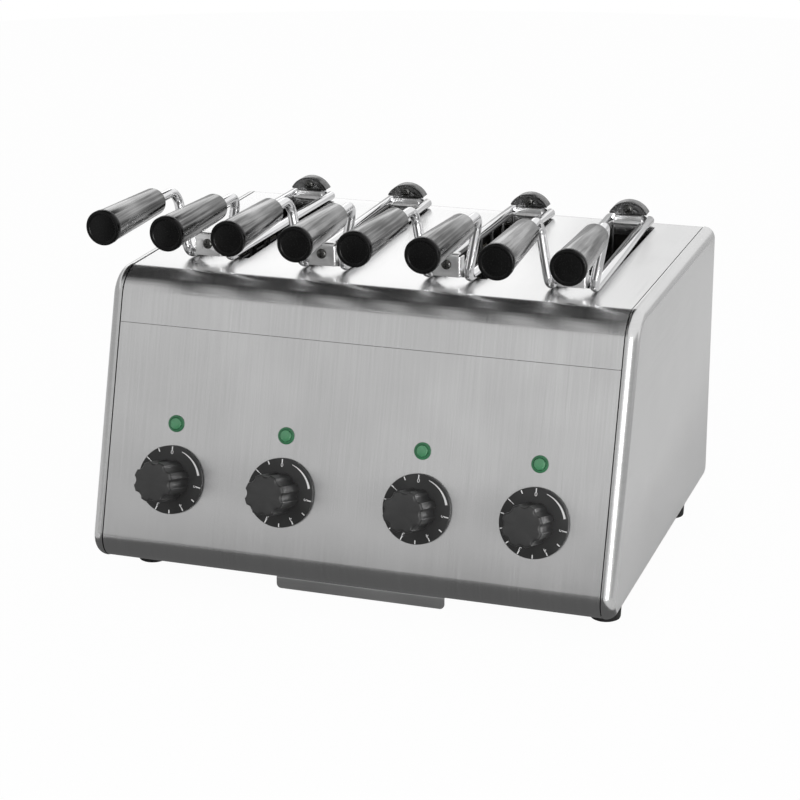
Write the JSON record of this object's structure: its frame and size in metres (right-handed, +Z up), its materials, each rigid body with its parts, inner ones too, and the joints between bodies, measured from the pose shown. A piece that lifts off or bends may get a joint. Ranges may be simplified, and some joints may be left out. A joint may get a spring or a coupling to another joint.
{
  "type": "slot toaster",
  "caption": "Stainless bar toaster with a leaning control front, timer knobs, pilot lamps, a crumb tray and sprung tongs that hold bread in slots in the top.",
  "frame": {"origin": "on the table, under the middle of the overall box", "axes": "+X to the right seen from the front, +Y from the knobs to the back, +Z up"},
  "size_m": [0.3954, 0.362, 0.2939],
  "materials": {
    "case_steel": "vertical brushed",
    "inner_steel": "plain",
    "tray_steel": "plain",
    "bracket_steel": "satin",
    "spring_steel": "plain",
    "screw_steel": "plain",
    "chrome": "polished",
    "black_plastic": "gloss",
    "knob_plastic": "satin",
    "dark_plastic": "matt",
    "rubber": "matt",
    "green_lens": "gloss",
    "quartz": "satin",
    "ceramic": "matt"
  },
  "bodies": {
    "body": {"top_cover": "case_steel", "front_panel": "case_steel", "left_end_cap": "case_steel", "right_end_cap": "case_steel", "rear_panel": "case_steel", "base_plate": "inner_steel", "rubber_feet": "rubber", "pilot_lamps": "green_lens", "timer_bodies": "dark_plastic", "heater_tubes": "quartz", "ceramic_ends": "ceramic", "chamber_panels": "inner_steel", "terminal_block": "ceramic", "cable_gland": "dark_plastic", "case_screws": "screw_steel"},
    "crumb_tray": {"crumb_tray": "tray_steel"},
    "timer_1": {"timer_knob_1": "knob_plastic", "timer_shaft_1": "screw_steel"},
    "timer_2": {"timer_knob_2": "knob_plastic", "timer_shaft_2": "screw_steel"},
    "timer_3": {"timer_knob_3": "knob_plastic", "timer_shaft_3": "screw_steel"},
    "timer_4": {"timer_knob_4": "knob_plastic", "timer_shaft_4": "screw_steel"},
    "tong_1": {"tong_1_brackets": "bracket_steel", "tong_1_bolts": "screw_steel", "tong_1_spring": "spring_steel"},
    "tong_1_left": {"tong_1_left_arm": "chrome", "tong_1_left_cage": "chrome", "tong_1_left_plug": "black_plastic"},
    "tong_1_right": {"tong_1_right_arm": "chrome", "tong_1_right_cage": "chrome", "tong_1_right_plug": "black_plastic"},
    "tong_2": {"tong_2_brackets": "bracket_steel", "tong_2_bolts": "screw_steel", "tong_2_spring": "spring_steel"},
    "tong_2_left": {"tong_2_left_arm": "chrome", "tong_2_left_cage": "chrome", "tong_2_left_plug": "black_plastic"},
    "tong_2_right": {"tong_2_right_arm": "chrome", "tong_2_right_cage": "chrome", "tong_2_right_plug": "black_plastic"},
    "tong_3": {"tong_3_brackets": "bracket_steel", "tong_3_bolts": "screw_steel", "tong_3_spring": "spring_steel"},
    "tong_3_left": {"tong_3_left_arm": "chrome", "tong_3_left_cage": "chrome", "tong_3_left_plug": "black_plastic"},
    "tong_3_right": {"tong_3_right_arm": "chrome", "tong_3_right_cage": "chrome", "tong_3_right_plug": "black_plastic"},
    "tong_4": {"tong_4_brackets": "bracket_steel", "tong_4_bolts": "screw_steel", "tong_4_spring": "spring_steel"},
    "tong_4_left": {"tong_4_left_arm": "chrome", "tong_4_left_cage": "chrome", "tong_4_left_plug": "black_plastic"},
    "tong_4_right": {"tong_4_right_arm": "chrome", "tong_4_right_cage": "chrome", "tong_4_right_plug": "black_plastic"}
  },
  "joints": [
    {"name": "crumb_tray_slide", "type": "slide", "parent": "body", "child": "crumb_tray", "axis": [0, -1, 0], "range_m": [0, 0.2]},
    {"name": "timer_1_turn", "type": "hinge", "parent": "body", "child": "timer_1", "pos_m": [-0.137, -0.14269, 0.0862], "axis": [0, 0.9588, -0.284], "range_deg": [0, 262]},
    {"name": "timer_2_turn", "type": "hinge", "parent": "body", "child": "timer_2", "pos_m": [-0.0514, -0.14269, 0.0862], "axis": [0, 0.9588, -0.284], "range_deg": [0, 262]},
    {"name": "timer_3_turn", "type": "hinge", "parent": "body", "child": "timer_3", "pos_m": [0.0514, -0.14269, 0.0862], "axis": [0, 0.9588, -0.284], "range_deg": [0, 262]},
    {"name": "timer_4_turn", "type": "hinge", "parent": "body", "child": "timer_4", "pos_m": [0.137, -0.14269, 0.0862], "axis": [0, 0.9588, -0.284], "range_deg": [0, 262]},
    {"name": "tong_1_lift", "type": "slide", "parent": "body", "child": "tong_1", "axis": [0, 0, 1], "range_m": [0, 0.14]},
    {"name": "tong_1_left_squeeze", "type": "hinge", "parent": "tong_1", "child": "tong_1_left", "pos_m": [-0.1361, 0.05, 0.2425], "axis": [0.0279, 0.9996, 0], "range_deg": [0, 7], "stiffness_Nm_per_rad": 2, "springref_deg": -5.73},
    {"name": "tong_1_right_squeeze", "type": "hinge", "parent": "tong_1", "child": "tong_1_right", "pos_m": [-0.1361, 0.05, 0.2425], "axis": [0.0279, 0.9996, 0], "range_deg": [-7, 0], "stiffness_Nm_per_rad": 2, "springref_deg": 5.73},
    {"name": "tong_2_lift", "type": "slide", "parent": "body", "child": "tong_2", "axis": [0, 0, 1], "range_m": [0, 0.14]},
    {"name": "tong_2_left_squeeze", "type": "hinge", "parent": "tong_2", "child": "tong_2_left", "pos_m": [-0.0502, 0.05, 0.2425], "axis": [-0.007, 1, 0], "range_deg": [0, 7], "stiffness_Nm_per_rad": 2, "springref_deg": -5.73},
    {"name": "tong_2_right_squeeze", "type": "hinge", "parent": "tong_2", "child": "tong_2_right", "pos_m": [-0.0502, 0.05, 0.2425], "axis": [-0.007, 1, 0], "range_deg": [-7, 0], "stiffness_Nm_per_rad": 2, "springref_deg": 5.73},
    {"name": "tong_3_lift", "type": "slide", "parent": "body", "child": "tong_3", "axis": [0, 0, 1], "range_m": [0, 0.14]},
    {"name": "tong_3_left_squeeze", "type": "hinge", "parent": "tong_3", "child": "tong_3_left", "pos_m": [0.049, 0.05, 0.2425], "axis": [0.0297, 0.9996, 0], "range_deg": [0, 7], "stiffness_Nm_per_rad": 2, "springref_deg": -5.73},
    {"name": "tong_3_right_squeeze", "type": "hinge", "parent": "tong_3", "child": "tong_3_right", "pos_m": [0.049, 0.05, 0.2425], "axis": [0.0297, 0.9996, 0], "range_deg": [-7, 0], "stiffness_Nm_per_rad": 2, "springref_deg": 5.73},
    {"name": "tong_4_lift", "type": "slide", "parent": "body", "child": "tong_4", "axis": [0, 0, 1], "range_m": [0, 0.14]},
    {"name": "tong_4_left_squeeze", "type": "hinge", "parent": "tong_4", "child": "tong_4_left", "pos_m": [0.1347, 0.05, 0.2425], "axis": [-0.0314, 0.9995, 0], "range_deg": [0, 7], "stiffness_Nm_per_rad": 2, "springref_deg": -5.73},
    {"name": "tong_4_right_squeeze", "type": "hinge", "parent": "tong_4", "child": "tong_4_right", "pos_m": [0.1347, 0.05, 0.2425], "axis": [-0.0314, 0.9995, 0], "range_deg": [-7, 0], "stiffness_Nm_per_rad": 2, "springref_deg": 5.73}
  ],
  "couplings": [
    {"joint": "tong_1_right_squeeze", "follows": "tong_1_left_squeeze", "ratio": -1},
    {"joint": "tong_2_right_squeeze", "follows": "tong_2_left_squeeze", "ratio": -1},
    {"joint": "tong_3_right_squeeze", "follows": "tong_3_left_squeeze", "ratio": -1},
    {"joint": "tong_4_right_squeeze", "follows": "tong_4_left_squeeze", "ratio": -1}
  ]
}
